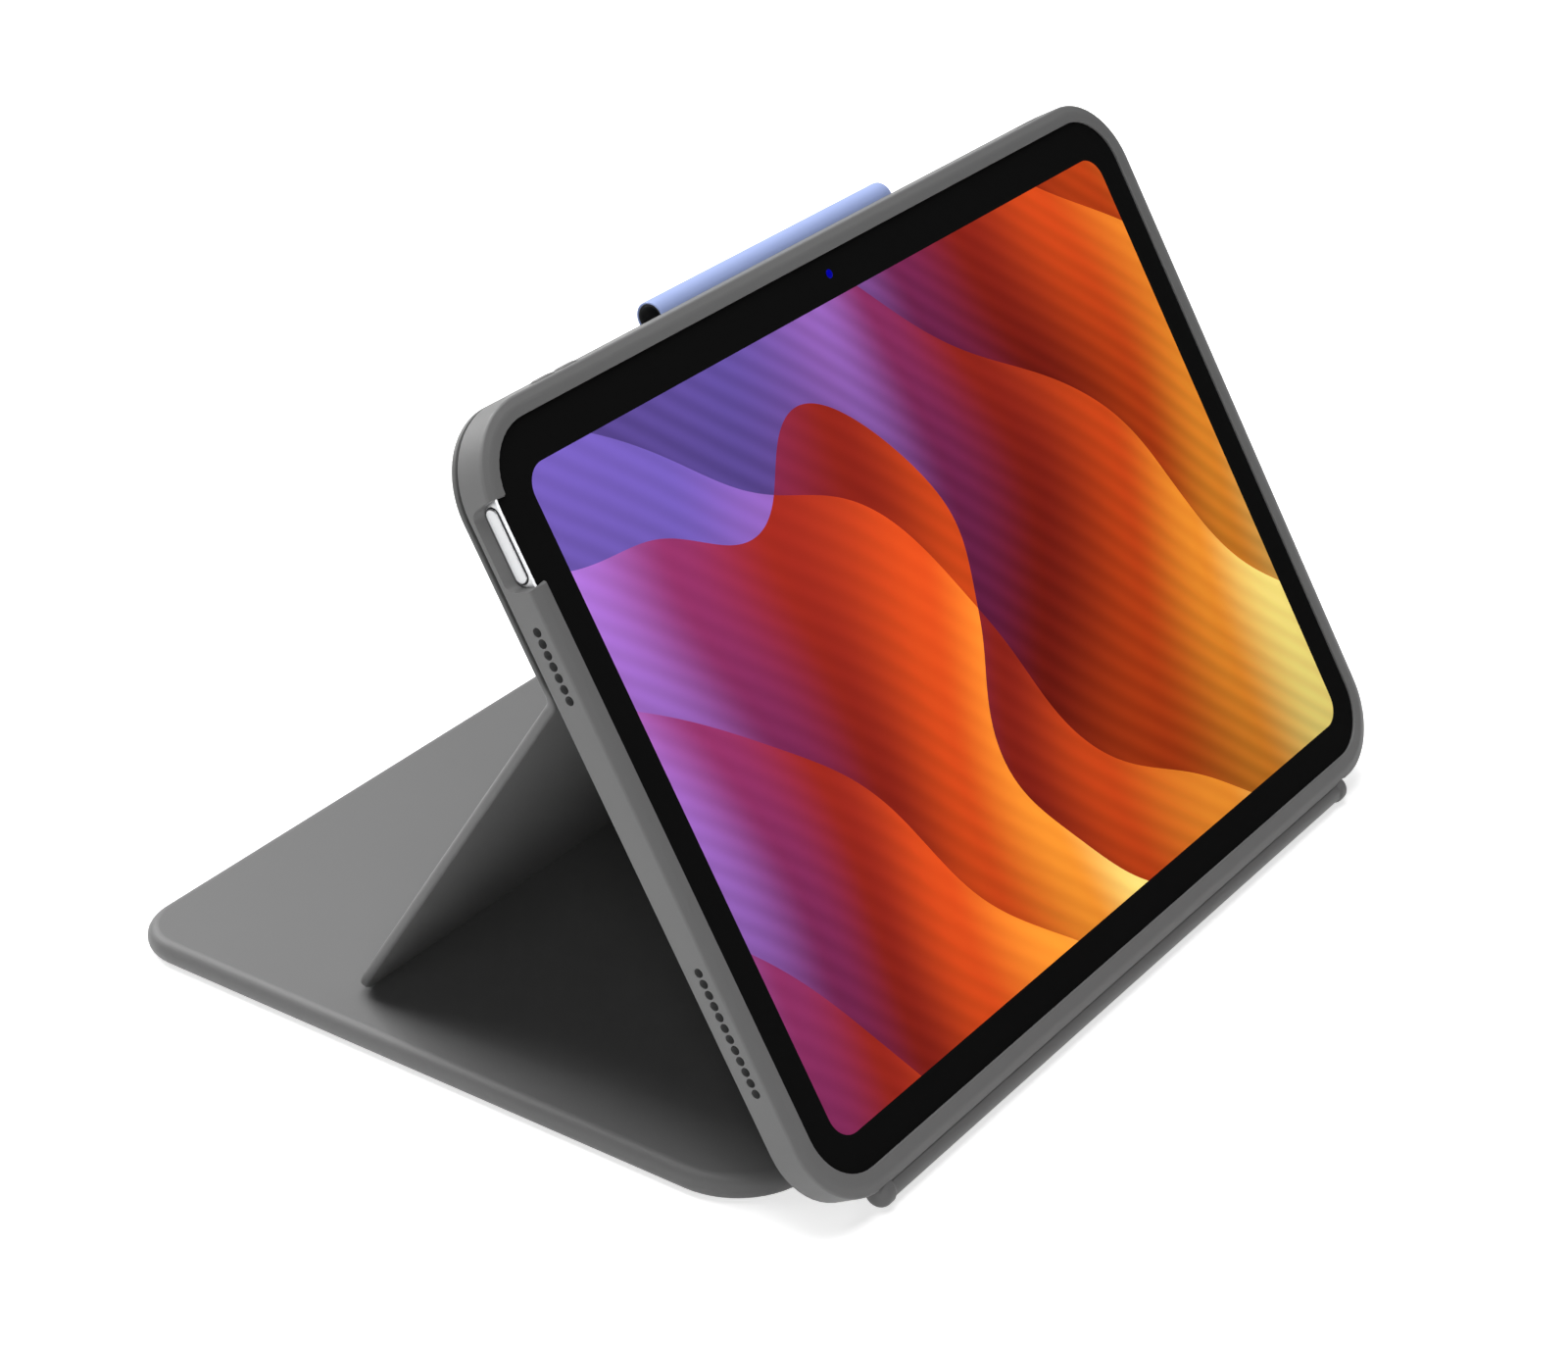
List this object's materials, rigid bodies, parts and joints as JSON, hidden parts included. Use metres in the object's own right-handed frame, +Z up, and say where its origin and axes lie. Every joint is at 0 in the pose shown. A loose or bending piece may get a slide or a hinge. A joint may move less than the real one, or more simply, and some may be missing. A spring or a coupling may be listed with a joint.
{
  "type": "tablet keyboard case",
  "caption": "Folio keyboard case with a tablet in its tray, leaning on a kickstand flap that stands on the folded-back keyboard deck, with a pencil loop on the top edge.",
  "frame": {"origin": "middle of the footprint, at table height", "axes": "+X along the width, to the right as one faces the screen; +Y away from the viewer; +Z up"},
  "size_m": [0.255, 0.2076, 0.1661],
  "materials": {
    "case_grey": "fine matte moulded",
    "outer_skin": "soft matte skin",
    "lining": "fine microfibre",
    "loop_blue": "smooth soft skin",
    "loop_lining": "fine microfibre",
    "tablet_metal": "bead blasted",
    "glass_black": "polished",
    "display": "lit screen behind glass",
    "lens": "polished",
    "magnet_steel": "plated",
    "contact_plastic": "moulded",
    "contact_gold": "plated",
    "ribbon": "film",
    "stiffener": "glass-fibre board",
    "key_face": "soft matte",
    "support_plate": "stamped",
    "circuit": "film",
    "dome_rubber": "silicone",
    "circuit_board": "solder mask",
    "trackpad_face": "etched glass",
    "keycap": "fine matte"
  },
  "bodies": {
    "tray": {"tray_shell": "case_grey", "back_cover": "outer_skin", "tray_lining": "lining", "pencil_loop_skin": "loop_blue", "pencil_loop_lining": "loop_lining", "tablet_body": "tablet_metal", "tablet_glass": "glass_black", "tablet_display": "display", "tablet_front_camera": "lens", "tablet_sensor_windows": "lens", "tablet_rear_camera": "lens", "docking_bar": "case_grey", "docking_bar_ends": "case_grey", "docking_bar_magnets": "magnet_steel", "contact_block": "contact_plastic", "contact_pins": "contact_gold"},
    "power_button": {"tablet_power_button": "tablet_metal"},
    "volume_up": {"volume_up_cover": "case_grey", "tablet_volume_up_key": "tablet_metal"},
    "volume_down": {"volume_down_cover": "case_grey", "tablet_volume_down_key": "tablet_metal"},
    "hinge_strip": {"hinge_strip": "outer_skin", "ribbon_cable": "ribbon"},
    "deck": {"deck_shell": "outer_skin", "key_frame": "key_face", "deck_plate": "support_plate", "circuit_sheet": "circuit", "key_domes": "dome_rubber", "controller_board": "circuit_board", "deck_magnets": "magnet_steel"},
    "kickstand": {"kickstand_outer_skin": "outer_skin", "kickstand_inner_skin": "lining", "kickstand_board": "stiffener", "kickstand_magnets": "magnet_steel"},
    "trackpad": {"trackpad": "trackpad_face"},
    "arrow_down_key": {"arrow_down_key": "keycap"},
    "arrow_left_key": {"arrow_left_key": "keycap"},
    "arrow_right_key": {"arrow_right_key": "keycap"},
    "arrow_up_key": {"arrow_up_key": "keycap"},
    "caps_key": {"caps_key": "keycap"},
    "delete_key": {"delete_key": "keycap"},
    "function_keys": {"function_keys": "keycap"},
    "home_letter_keys": {"home_letter_keys": "keycap"},
    "left_shift_key": {"left_shift_key": "keycap"},
    "lower_letter_keys": {"lower_letter_keys": "keycap"},
    "modifier_keys": {"modifier_keys": "keycap"},
    "number_keys": {"number_keys": "keycap"},
    "return_key": {"return_key": "keycap"},
    "right_shift_key": {"right_shift_key": "keycap"},
    "tab_key": {"tab_key": "keycap"},
    "upper_letter_keys": {"upper_letter_keys": "keycap"},
    "space_bar": {"space_bar": "keycap"}
  },
  "joints": [
    {"name": "bar_fold", "type": "hinge", "parent": "tray", "child": "hinge_strip", "pos_m": [0, -0.1004, 0.0034], "axis": [-1, 0, 0], "range_deg": [0, 180]},
    {"name": "deck_fold", "type": "hinge", "parent": "hinge_strip", "child": "deck", "pos_m": [0, -0.0812, 0.003], "axis": [-1, 0, 0], "range_deg": [0, 120.5]},
    {"name": "kickstand_fold", "type": "hinge", "parent": "tray", "child": "kickstand", "pos_m": [0, -0.02961, 0.10883], "axis": [-1, 0, 0], "range_deg": [0, 64.5]},
    {"name": "power_button_press", "type": "slide", "parent": "tray", "child": "power_button", "axis": [1, 0, 0], "range_m": [0, 0.0003], "stiffness_N_per_m": 800},
    {"name": "volume_up_press", "type": "slide", "parent": "tray", "child": "volume_up", "axis": [0, -0.5084, -0.8611], "range_m": [0, 0.0003], "stiffness_N_per_m": 800},
    {"name": "volume_down_press", "type": "slide", "parent": "tray", "child": "volume_down", "axis": [0, -0.5084, -0.8611], "range_m": [0, 0.0003], "stiffness_N_per_m": 800},
    {"name": "trackpad_press", "type": "slide", "parent": "deck", "child": "trackpad", "axis": [0, 0, 1], "range_m": [0, 0.0003], "stiffness_N_per_m": 1500},
    {"name": "arrow_down_key_press", "type": "slide", "parent": "deck", "child": "arrow_down_key", "axis": [0, 0, 1], "range_m": [0, 0.001], "stiffness_N_per_m": 400},
    {"name": "arrow_left_key_press", "type": "slide", "parent": "deck", "child": "arrow_left_key", "axis": [0, 0, 1], "range_m": [0, 0.001], "stiffness_N_per_m": 400},
    {"name": "arrow_right_key_press", "type": "slide", "parent": "deck", "child": "arrow_right_key", "axis": [0, 0, 1], "range_m": [0, 0.001], "stiffness_N_per_m": 400},
    {"name": "arrow_up_key_press", "type": "slide", "parent": "deck", "child": "arrow_up_key", "axis": [0, 0, 1], "range_m": [0, 0.001], "stiffness_N_per_m": 400},
    {"name": "caps_key_press", "type": "slide", "parent": "deck", "child": "caps_key", "axis": [0, 0, 1], "range_m": [0, 0.001], "stiffness_N_per_m": 400},
    {"name": "delete_key_press", "type": "slide", "parent": "deck", "child": "delete_key", "axis": [0, 0, 1], "range_m": [0, 0.001], "stiffness_N_per_m": 400},
    {"name": "function_keys_press", "type": "slide", "parent": "deck", "child": "function_keys", "axis": [0, 0, 1], "range_m": [0, 0.001], "stiffness_N_per_m": 400},
    {"name": "home_letter_keys_press", "type": "slide", "parent": "deck", "child": "home_letter_keys", "axis": [0, 0, 1], "range_m": [0, 0.001], "stiffness_N_per_m": 400},
    {"name": "left_shift_key_press", "type": "slide", "parent": "deck", "child": "left_shift_key", "axis": [0, 0, 1], "range_m": [0, 0.001], "stiffness_N_per_m": 400},
    {"name": "lower_letter_keys_press", "type": "slide", "parent": "deck", "child": "lower_letter_keys", "axis": [0, 0, 1], "range_m": [0, 0.001], "stiffness_N_per_m": 400},
    {"name": "modifier_keys_press", "type": "slide", "parent": "deck", "child": "modifier_keys", "axis": [0, 0, 1], "range_m": [0, 0.001], "stiffness_N_per_m": 400},
    {"name": "number_keys_press", "type": "slide", "parent": "deck", "child": "number_keys", "axis": [0, 0, 1], "range_m": [0, 0.001], "stiffness_N_per_m": 400},
    {"name": "return_key_press", "type": "slide", "parent": "deck", "child": "return_key", "axis": [0, 0, 1], "range_m": [0, 0.001], "stiffness_N_per_m": 400},
    {"name": "right_shift_key_press", "type": "slide", "parent": "deck", "child": "right_shift_key", "axis": [0, 0, 1], "range_m": [0, 0.001], "stiffness_N_per_m": 400},
    {"name": "tab_key_press", "type": "slide", "parent": "deck", "child": "tab_key", "axis": [0, 0, 1], "range_m": [0, 0.001], "stiffness_N_per_m": 400},
    {"name": "upper_letter_keys_press", "type": "slide", "parent": "deck", "child": "upper_letter_keys", "axis": [0, 0, 1], "range_m": [0, 0.001], "stiffness_N_per_m": 400},
    {"name": "space_bar_press", "type": "slide", "parent": "deck", "child": "space_bar", "axis": [0, 0, 1], "range_m": [0, 0.001], "stiffness_N_per_m": 400}
  ],
  "couplings": [
    {"joint": "kickstand_fold", "follows": "bar_fold", "ratio": 0.3583}
  ]
}
